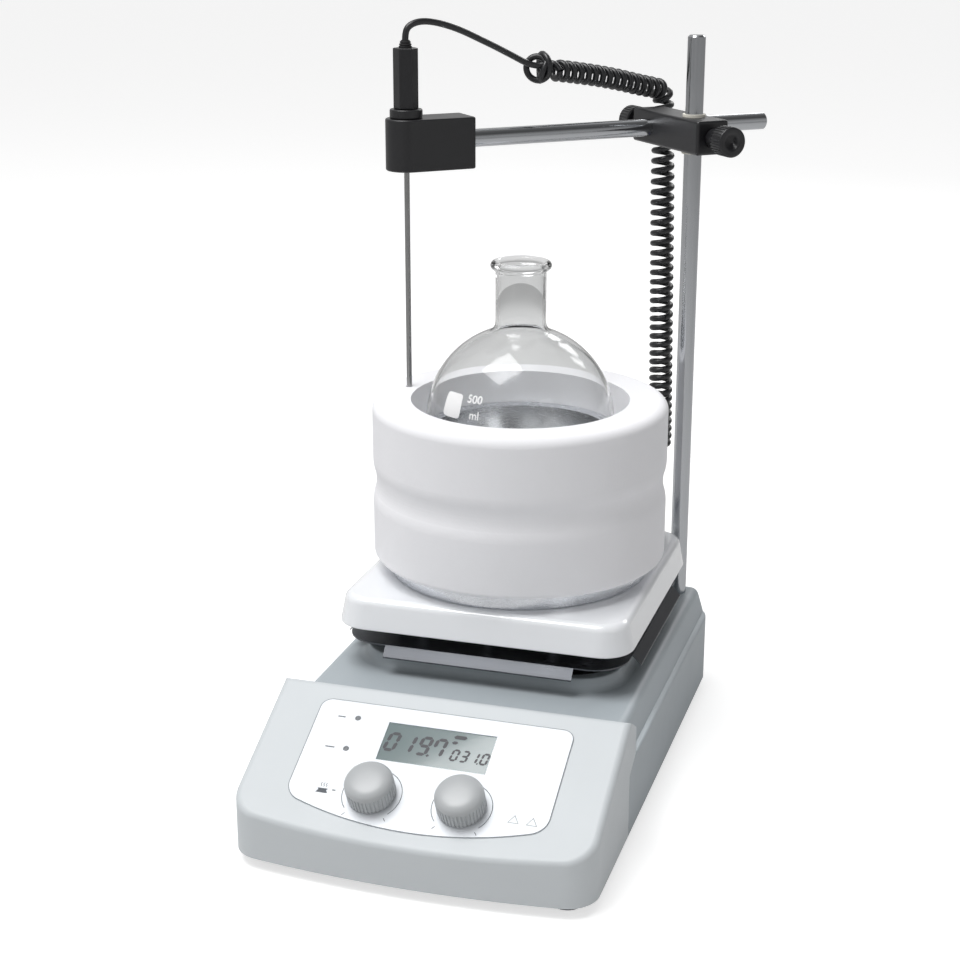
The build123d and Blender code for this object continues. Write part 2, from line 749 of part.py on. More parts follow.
def cord_knot():
    place = Plane(origin=KNOT - COIL_DIR * KNOT_HALF, z_dir=COIL_DIR)
    lump = place * Cylinder(KNOT_R, 2 * KNOT_HALF, align=BASE)
    return fillet(lump.edges().filter_by(GeomType.CIRCLE), 3.5)


def cord_top_coil():
    start = KNOT + COIL_DIR * KNOT_HALF
    return pipe([start, COIL_END, DROP_TOP], [COIL_BEND], COIL_D / 2)


def coil_drop(low_end, high_end):
    return pipe([low_end, high_end], None, DROP_D / 2)


def cord_tail():
    return pipe(TAIL_ROUTE, arc_radii(TAIL_ROUTE), LEAD_D / 2)


def sensor_plug():
    along = Pos(SENSOR_X, REAR_Y + 1.6, SENSOR_Z) * Rot(-90, 0, 0)
    nose = Pos(SENSOR_X, REAR_Y - 8, SENSOR_Z) * Rot(-90, 0, 0) * Cylinder(4.4, 9.6, align=BASE)
    grip = along * Cylinder(6.5, 21, align=BASE)
    boot = Pos(SENSOR_X, REAR_Y + 22.6, SENSOR_Z) * Rot(-90, 0, 0) * Cone(4.2, 2.4, 14.4, align=BASE)
    return nose + grip + boot


def report_radii(name, route):
    radii = ", ".join(f"{r:.1f}" for r in arc_radii(route))
    print(f"{name}: arc radii {radii} mm")


def main():
    save("bottom_pan", bottom_pan())
    save("rubber_feet", *[rubber_foot(x, y) for x, y in FOOT_PLACES])
    save("housing_screws", *[pan_screw(x, y) for x, y in SCREW_PLACES])
    save("front_shell", front_shell())
    save("rear_housing", rear_housing())
    save("panel_overlay", panel_overlay())
    save("lcd_module", lcd_module())
    save("status_leds", *[status_led(s) for s in LED_S])
    save("circuit_boards", control_board(), power_board())
    save("encoder_bodies", encoder_body(-KNOB_X), encoder_body(KNOB_X))
    for name, x in (("heat", -KNOB_X), ("stir", KNOB_X)):
        save(f"{name}_knob", knob(x))
        save(f"{name}_shaft", knob_shaft(x))
        save(f"{name}_plunger", dial_plunger(x))
    save("mains_inlet", mains_inlet())
    save("fuse_drawer", fuse_drawer())
    save("switch_frame", switch_frame())
    save("power_rocker", power_rocker())
    save("sensor_socket", sensor_socket())
    save("motor_bracket", motor_bracket())
    save("motor_stator", motor_stator())
    save("rotor_bearings", rotor_bearing(MOTOR_LOW + 1), rotor_bearing(MOTOR_HIGH - 8))
    save("rotor_shaft", rotor_shaft())
    save("magnet_carrier", magnet_carrier())
    save("drive_magnets", drive_magnet(-1), drive_magnet(1))
    save("inner_pan", inner_pan())
    save("reflector_tray", reflector_tray())
    save("plate_posts", *[plate_post(x, y) for x, y in POST_PLACES])
    save("heating_plate", heating_plate())
    save("heating_element", heating_element())
    save("plate_insulation", plate_insulation())
    save("flask_block", flask_block())
    save("lower_ring", ring(RING_BOTTOM, 3.0))
    save("upper_ring", ring(RING_TOP, 5.0))
    save("flask", flask())
    save("stir_bar", stir_bar())
    save("rod_socket", drum(ROD_X, ROD_Y, 36, DECK_Z - WALL, 7.5) - drum(ROD_X, ROD_Y, 44, 80, ROD_R))
    rod = drum(ROD_X, ROD_Y, 44, ROD_TOP, ROD_R)
    save("support_rod", chamfer(edges_at(rod, Axis.Z, ROD_TOP), 1.0))
    save("rod_bush", rod_bush())
    save("clamp_block", clamp_block())
    save("rod_pad", along_block(-8.6, -6.7, 2.8))
    save("rod_screw", thumb_screw(-8.6, BLOCK_LOW, -1))
    save("arm_pad", along_block(ARM_OFFSET + 5.2, ARM_OFFSET + 7.1, 2.8))
    save("arm_screw", thumb_screw(ARM_OFFSET + 7.1, BLOCK_HIGH, 1))
    save("arm_rod", arm_rod())
    save("probe_holder", probe_holder())
    save("holder_set_screw", holder_set_screw())
    save("probe_stem", drum(PROBE_X, PROBE_Y, PROBE_TIP, HOLDER_TOP + 12, PROBE_R))
    save("probe_collar", probe_collar())
    save("probe_handle", probe_handle())
    save("lead_boot", lead_boot())
    save("cord_lead", cord_lead())
    save("cord_knot", cord_knot())
    save("cord_top_coil", cord_top_coil())
    save("cord_drop_upper", coil_drop(DROP_TOP, DROP_SPLIT))
    save("cord_drop_lower", coil_drop(DROP_SPLIT, DROP_FOOT))
    save("cord_tail", cord_tail())
    save("sensor_plug", sensor_plug())
    report_radii("lead", LEAD_ROUTE)
    report_radii("tail", TAIL_ROUTE)


main()
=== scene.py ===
import math

import bmesh
import bpy
from mathutils import Matrix, Vector


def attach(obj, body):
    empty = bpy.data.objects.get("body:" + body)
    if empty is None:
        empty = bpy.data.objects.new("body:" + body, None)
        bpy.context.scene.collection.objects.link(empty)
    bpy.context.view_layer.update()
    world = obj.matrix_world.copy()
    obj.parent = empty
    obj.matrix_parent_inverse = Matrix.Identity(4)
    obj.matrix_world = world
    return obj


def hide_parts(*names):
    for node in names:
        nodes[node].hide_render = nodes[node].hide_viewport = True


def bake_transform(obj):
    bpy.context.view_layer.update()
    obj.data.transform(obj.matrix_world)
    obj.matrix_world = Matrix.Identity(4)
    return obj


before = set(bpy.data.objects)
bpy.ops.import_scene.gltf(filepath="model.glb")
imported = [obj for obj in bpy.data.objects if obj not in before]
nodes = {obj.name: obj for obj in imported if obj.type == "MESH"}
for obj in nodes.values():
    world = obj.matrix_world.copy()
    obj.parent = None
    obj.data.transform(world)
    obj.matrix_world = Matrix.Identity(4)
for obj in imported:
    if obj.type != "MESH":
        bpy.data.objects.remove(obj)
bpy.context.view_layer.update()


# The bench the stirrer stands on: a plain pale top under a bright room, with one large soft
# lamp high above on the left, a weak one on the right and a strip behind for the metal's edges.
# The bench glows mostly for the eye, so that it stays white and sheds little light on the parts.

def lamp(name, place, size, power, aim=(0, -0.03, 0.16)):
    bpy.ops.object.light_add(type="AREA", location=place)
    made = bpy.context.object
    made.name = name
    made.data.shape = "RECTANGLE"
    made.data.size, made.data.size_y = size
    made.data.energy = power
    made.rotation_euler = (Vector(aim) - Vector(place)).to_track_quat("-Z", "Y").to_euler()


bpy.ops.object.camera_add(location=(0.270587, -0.947174, 0.473825))
camera = bpy.context.object
ahead, across = Vector((-0.2823, 0.9095, -0.3051)), Vector((0.955, 0.2965, 0.0))
camera.rotation_euler = Matrix((across, across.cross(ahead), -ahead)).transposed().to_euler()
camera.data.sensor_width = 36
camera.data.lens = 68.73
camera.data.shift_y = -0.013
bpy.context.scene.camera = camera
bpy.context.scene.view_settings.view_transform = "Standard"

lamp("key_lamp", (-0.5, -0.45, 2.0), (1.1, 1.1), 30)
lamp("fill_lamp", (1.3, -1.0, 0.8), (0.5, 0.9), 1.6)
lamp("edge_lamp", (0.4, 1.5, 1.1), (1.2, 0.4), 6)

world = bpy.data.worlds.new("bright_room")
bpy.context.scene.world = world
world.use_nodes = True
room = world.node_tree
room_side = room.nodes.new("ShaderNodeSeparateXYZ")
room_walls = room.nodes.new("ShaderNodeValToRGB")
room_half = room.nodes.new("ShaderNodeMapRange")
room_half.inputs["From Min"].default_value = -1
room.links.new(room.nodes.new("ShaderNodeTexCoord").outputs["Generated"], room_side.inputs[0])
room.links.new(room_side.outputs["X"], room_half.inputs["Value"])
room.links.new(room_half.outputs["Result"], room_walls.inputs["Fac"])
room.links.new(room_walls.outputs["Color"], room.nodes["Background"].inputs["Color"])
for place, grey in ((0.0, 0.7), (0.3, 1.0), (0.56, 0.9), (0.66, 0.3), (0.88, 0.16), (1.0, 0.6)):
    stop = room_walls.color_ramp.elements[0] if place == 0.0 else room_walls.color_ramp.elements.new(place)
    stop.color = (grey, grey, grey, 1)
room_walls.color_ramp.elements[-1].color = (0.6, 0.6, 0.62, 1)
room.nodes["Background"].inputs["Strength"].default_value = 0.62

bpy.ops.mesh.primitive_plane_add(size=60)
bench = bpy.context.object
bench.name = "bench_top"
bench_finish = bpy.data.materials.new("bench_laminate")
bench_finish.use_nodes = True
bench_skin = bench_finish.node_tree.nodes["Principled BSDF"]
bench_skin.inputs["Roughness"].default_value = 0.9
BENCH_GLOW_ON_PARTS = 0.1
BENCH_GLOW_TO_EYE = 0.64
bench_skin.inputs["Emission Color"].default_value = (1, 1, 1, 1)
bench_view = bench_finish.node_tree.nodes.new("ShaderNodeLightPath")
bench_glow = bench_finish.node_tree.nodes.new("ShaderNodeMapRange")
bench_glow.inputs["To Min"].default_value = BENCH_GLOW_ON_PARTS
bench_glow.inputs["To Max"].default_value = BENCH_GLOW_TO_EYE
bench_finish.node_tree.links.new(bench_view.outputs["Is Camera Ray"], bench_glow.inputs["Value"])
bench_finish.node_tree.links.new(bench_glow.outputs["Result"], bench_skin.inputs["Emission Strength"])
bench_cloud = bench_finish.node_tree.nodes.new("ShaderNodeTexNoise")
bench_cloud.inputs["Scale"].default_value = 3
bench_shade = bench_finish.node_tree.nodes.new("ShaderNodeMapRange")
bench_shade.inputs["To Min"].default_value = 0.56
bench_shade.inputs["To Max"].default_value = 0.6
bench_finish.node_tree.links.new(bench_cloud.outputs["Fac"], bench_shade.inputs["Value"])
bench_finish.node_tree.links.new(bench_shade.outputs["Result"], bench_skin.inputs["Base Color"])
bench.data.materials.append(bench_finish)


# Probe lead: black PVC cable, 3.6 mm thick, from the probe's handle to a knot beside the clamp.
# Beyond the knot it is a curly cord over the clamp, down behind the housing, and a plain tail.

LEAD = 0.0036
HANDLE_TIP = (-0.0671, 0.0048, 0.392)
KNOT = Vector((-0.0086, 0.072, 0.3727))
DROP_TOP = Vector((0.0452, 0.1524, 0.322))
DROP_FOOT = Vector((0.0498, 0.150, 0.128))
DROP_WAY = (DROP_FOOT - DROP_TOP).normalized()
DROP_SPLIT = DROP_TOP + 0.106 * DROP_WAY
COIL_CORNER = DROP_TOP - 0.0315 * DROP_WAY
COIL_WAY = (COIL_CORNER - KNOT).normalized()
SENSOR_EXIT = (0.050, 0.134, 0.033)


def node(tree, kind, settings=None, inputs=None):
    """A shader node with its settings, and its inputs given as values or linked to sockets."""
    made = tree.nodes.new(kind)
    for name, value in (settings or {}).items():
        setattr(made, name, value)
    for name, value in (inputs or {}).items():
        if isinstance(value, bpy.types.NodeSocket):
            tree.links.new(value, made.inputs[name])
        else:
            made.inputs[name].default_value = value
    return made


def new_group(name, takes, gives):
    group = bpy.data.node_groups.new(name, "ShaderNodeTree")
    for title, kind, value in takes:
        group.interface.new_socket(title, in_out="INPUT", socket_type=kind).default_value = value
    for title, kind in gives:
        group.interface.new_socket(title, in_out="OUTPUT", socket_type=kind)
    return group, group.nodes.new("NodeGroupInput").outputs, group.nodes.new("NodeGroupOutput")


def build_moulded_skin():
    """Cloudy tint, fine grain, uneven gloss and paler rubbed edges, for anything moulded or painted."""
    takes = [
        ("Tint", "NodeSocketColor", (1, 1, 1, 1)), ("Cloud", "NodeSocketFloat", 0.05),
        ("Grain scale", "NodeSocketFloat", 1500.0), ("Grain depth", "NodeSocketFloat", 0.1),
        ("Gloss", "NodeSocketFloat", 0.4), ("Gloss spread", "NodeSocketFloat", 0.1),
        ("Rubbed edge", "NodeSocketFloat", 0.08),
    ]
    gives = [("Tint", "NodeSocketColor"), ("Roughness", "NodeSocketFloat"), ("Normal", "NodeSocketVector")]
    group, given, leave = new_group("moulded_skin", takes, gives)
    place = node(group, "ShaderNodeTexCoord").outputs["Object"]
    cloud = node(group, "ShaderNodeTexNoise", None, {"Vector": place, "Scale": 22.0, "Detail": 3.0})
    grain = node(group, "ShaderNodeTexNoise", None,
                 {"Vector": place, "Scale": given["Grain scale"], "Detail": 2.0})
    smear = node(group, "ShaderNodeTexNoise", None, {"Vector": place, "Scale": 60.0, "Detail": 5.0})
    rounded = node(group, "ShaderNodeBevel", {"samples": 4}, {"Radius": 0.0007})
    face = node(group, "ShaderNodeNewGeometry")
    turn = node(group, "ShaderNodeVectorMath", {"operation": "DOT_PRODUCT"},
                {0: rounded.outputs["Normal"], 1: face.outputs["Normal"]})
    rim = node(group, "ShaderNodeMapRange", None,
               {"Value": turn.outputs["Value"], "From Min": 0.98, "From Max": 0.8})
    patchy = node(group, "ShaderNodeMath", {"operation": "MULTIPLY"},
                  {0: rim.outputs["Result"], 1: smear.outputs["Fac"]})
    centred = node(group, "ShaderNodeMath", {"operation": "SUBTRACT"}, {0: cloud.outputs["Fac"], 1: 0.5})
    clouded = node(group, "ShaderNodeMath", {"operation": "MULTIPLY_ADD"},
                   {0: centred.outputs[0], 1: given["Cloud"], 2: 1.0})
    lit = node(group, "ShaderNodeMath", {"operation": "MULTIPLY_ADD"},
               {0: patchy.outputs[0], 1: given["Rubbed edge"], 2: clouded.outputs[0]})
    tinted = node(group, "ShaderNodeHueSaturation", None, {"Value": lit.outputs[0], "Color": given["Tint"]})
    smeared = node(group, "ShaderNodeMath", {"operation": "SUBTRACT"}, {0: smear.outputs["Fac"], 1: 0.5})
    rough = node(group, "ShaderNodeMath", {"operation": "MULTIPLY_ADD"},
                 {0: smeared.outputs[0], 1: given["Gloss spread"], 2: given["Gloss"]})
    bump = node(group, "ShaderNodeBump", None, {
        "Strength": given["Grain depth"], "Distance": 0.0003, "Height": grain.outputs["Fac"]})
    group.links.new(tinted.outputs["Color"], leave.inputs["Tint"])
    group.links.new(rough.outputs[0], leave.inputs["Roughness"])
    group.links.new(bump.outputs["Normal"], leave.inputs["Normal"])
    return group


MOULDED_SKIN = build_moulded_skin()


def srgb(red, green, blue):
    """A colour as a paint chart gives it, from 0 to 255, in the shader's own scale."""
    return tuple(
        c / 255 / 12.92 if c / 255 <= 0.04045 else ((c / 255 + 0.055) / 1.055) ** 2.4
        for c in (red, green, blue)
    ) + (1.0,)


def moulded(name, tint, gloss, cloud=0.05, grain=1500.0, depth=0.08, spread=0.12, edge=0.08, **shader):
    """A moulded or painted finish on the shared skin; shader holds the Principled's own values."""
    finish = bpy.data.materials.new(name)
    finish.use_nodes = True
    tree = finish.node_tree
    skin = node(tree, "ShaderNodeGroup", {"node_tree": MOULDED_SKIN}, {
        "Tint": tint, "Cloud": cloud, "Grain scale": grain, "Grain depth": depth,
        "Gloss": gloss, "Gloss spread": spread, "Rubbed edge": edge})
    body = tree.nodes["Principled BSDF"]
    tree.links.new(skin.outputs["Tint"], body.inputs["Base Color"])
    tree.links.new(skin.outputs["Roughness"], body.inputs["Roughness"])
    tree.links.new(skin.outputs["Normal"], body.inputs["Normal"])
    for title, value in shader.items():
        body.inputs[title.replace("_", " ")].default_value = value
    return finish


def dress(finish, *names):
    """Gives CAD nodes their finish."""
    for name in names:
        nodes[name].data.materials.clear()
        nodes[name].data.materials.append(finish)


cord_pvc = moulded("cord_pvc", srgb(24, 25, 28), 0.36, cloud=0.3, grain=2600.0, depth=0.12,
                   Coat_Weight=0.15, Coat_Roughness=0.3)


def route(name, points, resolution=8):
    """The smooth line of a cord: a NURBS spline through the run of its route points."""
    data = bpy.data.curves.new(name, "CURVE")
    data.dimensions = "3D"
    spline = data.splines.new("NURBS")
    spline.points.add(len(points) - 1)
    for knot, place in zip(spline.points, points):
        knot.co = (*place, 1)
    spline.order_u = 3
    spline.use_endpoint_u = True
    spline.resolution_u = resolution
    made = bpy.data.objects.new(name, data)
    bpy.context.scene.collection.objects.link(made)
    return made


def line_of(curve):
    bpy.context.view_layer.update()
    bare = bpy.data.meshes.new_from_object(curve)
    points = [v.co.copy() for v in bare.vertices]
    bpy.data.meshes.remove(bare)
    return points


def long(line):
    return sum((b - a).length for a, b in zip(line, line[1:]))


def as_tube(curve, thickness, finish, sides=3):
    """Turns a route into the mesh of its cord, and gives the piece and the line it follows."""
    line = line_of(curve)
    name = curve.name
    curve.data.bevel_depth = thickness / 2
    curve.data.bevel_resolution = sides
    curve.data.use_fill_caps = True
    bpy.context.view_layer.update()
    mesh = bpy.data.meshes.new_from_object(curve)
    bpy.data.objects.remove(curve)
    piece = bpy.data.objects.new(name, mesh)
    bpy.context.scene.collection.objects.link(piece)
    mesh.materials.clear()
    mesh.materials.append(finish)
    for face in mesh.polygons:
        face.use_smooth = len(face.vertices) == 4
    return piece, line


LEAD_ROUTE = [
    HANDLE_TIP, (-0.0671, 0.0048, 0.3966), (-0.0648, 0.0070, 0.4002), (-0.0598, 0.0118, 0.4018),
    (-0.0530, 0.0194, 0.4004), (-0.0446, 0.0296, 0.3964), (-0.0354, 0.0404, 0.3902),
    (-0.0264, 0.0518, 0.3838), (-0.0174, 0.0616, 0.3772),
]
probe_lead, lead_line = as_tube(route("probe_lead", LEAD_ROUTE), LEAD, cord_pvc, sides=4)
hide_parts("cord_lead")
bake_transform(probe_lead)

# Knot: the first turns of the curly cord wound over each other and pulled up tight, so the
# curls can't run along the lead. The turns lean in different planes as they cross.
KNOT_HALF = 0.009
KNOT_TURNS = 3.4
side = COIL_WAY.cross(Vector((0, 0, 1))).normalized()
lift = side.cross(COIL_WAY).normalized()
knot_points = [Vector(LEAD_ROUTE[-1]), KNOT - 0.0075 * COIL_WAY]
for step in range(1, 55):
    share = step / 54
    turn = 2 * math.pi * KNOT_TURNS * share
    sweep = 0.0078 * math.sin(math.pi * min(1, 1.15 * share + 0.08)) ** 0.4
    lean = math.radians(42) * math.sin(2 * math.pi * share * 1.3 + 0.5)
    ring_side = (side * math.cos(lean) + COIL_WAY * math.sin(lean)).normalized()
    along = -0.0042 + 0.0094 * share ** 1.5
    knot_points.append(
        KNOT + along * COIL_WAY
        + sweep * (math.cos(turn) * ring_side + math.sin(turn) * lift)
    )
CURL_START = KNOT + KNOT_HALF * COIL_WAY


def curl(line, radius_at, pitch_at, per_turn=16, phase=0.0):
    """Points of a curly cord round a line: radius and pitch are functions of the way along it."""
    whole = long(line)
    heading = (line[1] - line[0]).normalized()
    first = heading.cross(Vector((0, 0, 1))).normalized()
    points, gone, due = [], 0.0, 0.0
    for a, b in zip(line, line[1:]):
        run = (b - a).length
        if run < 1e-9:
            continue
        new_heading = (b - a).normalized()
        first = (first - new_heading * first.dot(new_heading)).normalized()
        second = new_heading.cross(first)
        done = 0.0
        while done + due <= run:
            done += due
            here = a + new_heading * done
            far = gone + done
            angle = phase + 2 * math.pi * len(points) / per_turn
            reach = radius_at(far, whole)
            points.append(here + reach * (math.cos(angle) * first + math.sin(angle) * second))
            due = pitch_at(far) / per_turn
        due -= run - done
        gone += run
    return points


def curl_radius(far, whole):
    """Narrower over the clamp, wider where its own weight lets it open, and closing at the foot."""
    open_up = min(1, max(0, (far - 0.085) / 0.06))
    reach = 0.0047 + 0.0010 * open_up
    return reach * min(1, max(0, (whole - far) / 0.007)) ** 0.5


def curl_pitch(far):
    if far < 0.09:
        return 0.0057
    return 0.0057 + 0.0006 * min(1, (far - 0.09) / 0.03) - 0.0016 * max(0, far - 0.17) / 0.14


curl_route = route("curl_route", [
    CURL_START, CURL_START + 0.022 * COIL_WAY + Vector((0, 0, 0.0012)),
    CURL_START + 0.048 * COIL_WAY + Vector((0, 0, 0.0016)),
    CURL_START + 0.074 * COIL_WAY + Vector((0, 0, 0.0006)), COIL_CORNER + Vector((0, 0, 0.001)),
    COIL_CORNER + 0.014 * DROP_WAY, DROP_TOP + 0.006 * DROP_WAY, DROP_TOP + 0.05 * DROP_WAY,
    DROP_SPLIT, DROP_SPLIT + 0.044 * DROP_WAY, DROP_FOOT,
], resolution=24)
curl_points = curl(line_of(curl_route), curl_radius, curl_pitch)
bpy.data.objects.remove(curl_route)
top_end = min(range(len(curl_points)), key=lambda i: abs(curl_points[i].z - DROP_TOP.z))
split_end = min(range(len(curl_points)), key=lambda i: abs(curl_points[i].z - DROP_SPLIT.z))
knot_points += [KNOT + 0.0068 * COIL_WAY + 0.0056 * lift, curl_points[0]]

lead_knot, knot_line = as_tube(route("lead_knot", knot_points, resolution=4), LEAD, cord_pvc)
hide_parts("cord_knot")
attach(lead_knot, "arm")

CURLS = [
    ("curls_over_clamp", "cord_top_coil", 0, top_end, ("arm", "clamp"), (CURL_START, COIL_CORNER)),
    ("curls_behind", "cord_drop_upper", top_end, split_end, ("clamp", "bush"), (DROP_TOP, DROP_SPLIT)),
    ("curls_hanging", "cord_drop_lower", split_end, len(curl_points) - 1, ("bush", "base"),
     (DROP_SPLIT, DROP_FOOT)),
]
for name, solid, first, last, (near, far), (start, end) in CURLS:
    piece, line = as_tube(route(name, curl_points[first:last + 1], resolution=3), LEAD, cord_pvc)
    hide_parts(solid)
    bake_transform(piece)

TAIL_ROUTE = [
    curl_points[-1], DROP_FOOT + 0.009 * DROP_WAY, DROP_FOOT + 0.019 * DROP_WAY,
    (0.0492, 0.1532, 0.094), (0.0506, 0.1576, 0.0775), (0.050, 0.159, 0.0605),
    (0.0498, 0.1564, 0.045), (0.050, 0.1474, 0.033), SENSOR_EXIT,
]
sensor_tail, tail_line = as_tube(route("sensor_tail", TAIL_ROUTE), LEAD, cord_pvc, sides=4)
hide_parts("cord_tail")
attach(sensor_tail, "base")


# Housing: a light grey front shell over a slightly darker rear one, both moulded in ABS with a
# fine satin texture, on a folded steel pan with four rubber feet and its screws.

front_paint = moulded("front_paint", srgb(206, 211, 214), 0.42,
                      cloud=0.05, grain=1900.0, depth=0.07, edge=0.05)
rear_paint = moulded("rear_paint", srgb(172, 180, 185), 0.44, cloud=0.06, grain=1900.0, depth=0.08, edge=0.07)
pan_steel = moulded("pan_steel", srgb(120, 124, 128), 0.45, cloud=0.1, grain=1100.0, depth=0.12,
                    Metallic=0.6)
foot_rubber = moulded("foot_rubber", srgb(26, 26, 28), 0.75, cloud=0.25, grain=900.0, depth=0.3, edge=0.5)
dress(front_paint, "front_shell")
dress(rear_paint, "rear_housing")
dress(pan_steel, "bottom_pan")
dress(foot_rubber, "rubber_feet")


def build_drawn_metal():
    """Fine streaks along the way the metal was drawn, rolled or turned, and a few duller smears."""
    takes = [
        ("Tint", "NodeSocketColor", (0.6, 0.6, 0.6, 1)), ("Place", "NodeSocketVector", (0, 0, 0)),
        ("Gloss", "NodeSocketFloat", 0.25), ("Streak", "NodeSocketFloat", 0.15),
    ]
    gives = [("Tint", "NodeSocketColor"), ("Roughness", "NodeSocketFloat"), ("Normal", "NodeSocketVector")]
    group, given, leave = new_group("drawn_metal", takes, gives)
    streaks = node(group, "ShaderNodeTexNoise", None, {"Vector": given["Place"], "Scale": 1.0, "Detail": 4.0})
    place = node(group, "ShaderNodeTexCoord").outputs["Object"]
    smear = node(group, "ShaderNodeTexNoise", None, {"Vector": place, "Scale": 45.0, "Detail": 4.0})
    even = node(group, "ShaderNodeMath", {"operation": "SUBTRACT"}, {0: streaks.outputs["Fac"], 1: 0.5})
    shade = node(group, "ShaderNodeMath", {"operation": "MULTIPLY_ADD"},
                 {0: even.outputs[0], 1: given["Streak"], 2: 1.0})
    tinted = node(group, "ShaderNodeHueSaturation", None, {"Value": shade.outputs[0], "Color": given["Tint"]})
    dull = node(group, "ShaderNodeMath", {"operation": "MULTIPLY"}, {0: smear.outputs["Fac"], 1: 0.12})
    streaked = node(group, "ShaderNodeMath", {"operation": "MULTIPLY_ADD"},
                    {0: even.outputs[0], 1: given["Streak"], 2: given["Gloss"]})
    rough = node(group, "ShaderNodeMath", {"operation": "ADD"}, {0: streaked.outputs[0], 1: dull.outputs[0]})
    bump = node(group, "ShaderNodeBump", None,
                {"Strength": 0.08, "Distance": 0.0002, "Height": streaks.outputs["Fac"]})
    group.links.new(tinted.outputs["Color"], leave.inputs["Tint"])
    group.links.new(rough.outputs[0], leave.inputs["Roughness"])
    group.links.new(bump.outputs["Normal"], leave.inputs["Normal"])
    return group


DRAWN_METAL = build_drawn_metal()


def metal(name, tint, gloss, streak=0.15, scale=(1500, 1500, 30), turn=(0, 0, 0)):
    finish = bpy.data.materials.new(name)
    finish.use_nodes = True
    tree = finish.node_tree
    place = node(tree, "ShaderNodeTexCoord").outputs["Object"]
    along = node(tree, "ShaderNodeMapping", {"vector_type": "TEXTURE"}, {"Vector": place, "Rotation": turn})
    drawn = node(tree, "ShaderNodeVectorMath", {"operation": "MULTIPLY"}, {0: along.outputs[0], 1: scale})
    skin = node(tree, "ShaderNodeGroup", {"node_tree": DRAWN_METAL},
                {"Tint": tint, "Place": drawn.outputs[0], "Gloss": gloss, "Streak": streak})
    body = tree.nodes["Principled BSDF"]
    body.inputs["Metallic"].default_value = 1.0
    tree.links.new(skin.outputs["Tint"], body.inputs["Base Color"])
    tree.links.new(skin.outputs["Roughness"], body.inputs["Roughness"])
    tree.links.new(skin.outputs["Normal"], body.inputs["Normal"])
    return finish


screw_steel = metal("screw_steel", srgb(170, 172, 176), 0.3, scale=(1800, 1800, 1800))
dress(screw_steel, "housing_screws", "holder_set_screw")


# Front panel: a printed polyester film stuck on the slope, with a thin grey line round it, a
# liquid crystal display under a clear window, and two status lamps.

SLOPE = math.atan2(0.0697 - 0.03165, 0.1990 - 0.1227)
PANEL = Matrix((
    (1, 0, 0, 0),
    (0, math.cos(SLOPE), -math.sin(SLOPE), -0.1990),
    (0, math.sin(SLOPE), math.cos(SLOPE), 0.03165),
    (0, 0, 0, 1),
))
PANEL_OUT = PANEL.to_3x3().col[2]
FILM_FACE = 0.0004

panel_film = moulded("panel_film", srgb(240, 244, 249), 0.3, cloud=0.02, grain=2600.0, depth=0.04, edge=0.0)
print_grey = moulded("print_grey", srgb(96, 102, 108), 0.45, cloud=0.08, grain=2600.0, depth=0.03, edge=0.0)
outline_grey = moulded("outline_grey", srgb(140, 146, 152), 0.45,
                       cloud=0.1, grain=2600.0, depth=0.03, edge=0.0)
lcd_glass = moulded("lcd_glass", srgb(105, 121, 122), 0.12, cloud=0.06, grain=400.0, depth=0.01, edge=0.0,
                    Coat_Weight=0.5, Coat_Roughness=0.05)
lcd_ink = moulded("lcd_ink", srgb(4, 7, 26), 0.3, cloud=0.1, grain=2000.0, depth=0.02, edge=0.0)
led_lens = moulded("led_lens", srgb(108, 112, 116), 0.2, cloud=0.15, grain=800.0, depth=0.05,
                   Coat_Weight=0.6, Coat_Roughness=0.1)
dress(panel_film, "panel_overlay")
dress(lcd_glass, "lcd_module")
dress(led_lens, "status_leds")


def clear():
    if bpy.context.object and bpy.context.object.mode != "OBJECT":
        bpy.ops.object.mode_set(mode="OBJECT")
    bpy.ops.object.select_all(action="DESELECT")
    bpy.context.tool_settings.mesh_select_mode = (False, False, True)


def settle(piece, finish, body, place=None, angle=35):
    """Puts a modelled piece where it is fitted, with its place in its mesh, and fixes it to its body."""
    clear()
    piece.data.transform(piece.matrix_basis)
    piece.matrix_basis = Matrix.Identity(4)
    if place is not None:
        piece.data.transform(place)
    piece.data.materials.clear()
    piece.data.materials.append(finish)
    bpy.context.view_layer.objects.active = piece
    piece.select_set(True)
    if angle:
        bpy.ops.object.shade_smooth_by_angle(angle=math.radians(angle))
    clear()
    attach(piece, body)
    return piece


def joined(pieces, name):
    clear()
    for piece in pieces:
        piece.select_set(True)
    bpy.context.view_layer.objects.active = pieces[0]
    bpy.ops.object.join()
    pieces[0].name = pieces[0].data.name = name
    return pieces[0]


def printed_line(points, width, closed=False):
    """One printed stroke: a thin raised line through points in the panel's own plane."""
    data = bpy.data.curves.new("stroke", "CURVE")
    data.dimensions = "3D"
    spline = data.splines.new("POLY")
    spline.points.add(len(points) - 1)
    for corner, point in zip(spline.points, points):
        corner.co = (point[0], point[1], FILM_FACE, 1)
    spline.use_cyclic_u = closed
    data.bevel_depth = width / 2
    data.bevel_resolution = 1
    data.use_fill_caps = True
    flat = bpy.data.objects.new("stroke", data)
    bpy.context.scene.collection.objects.link(flat)
    bpy.context.view_layer.update()
    mesh = bpy.data.meshes.new_from_object(flat)
    bpy.data.objects.remove(flat)
    for corner in mesh.vertices:
        corner.co.z = FILM_FACE + (corner.co.z - FILM_FACE) * 0.3
    stroke = bpy.data.objects.new("stroke", mesh)
    bpy.context.scene.collection.objects.link(stroke)
    return stroke


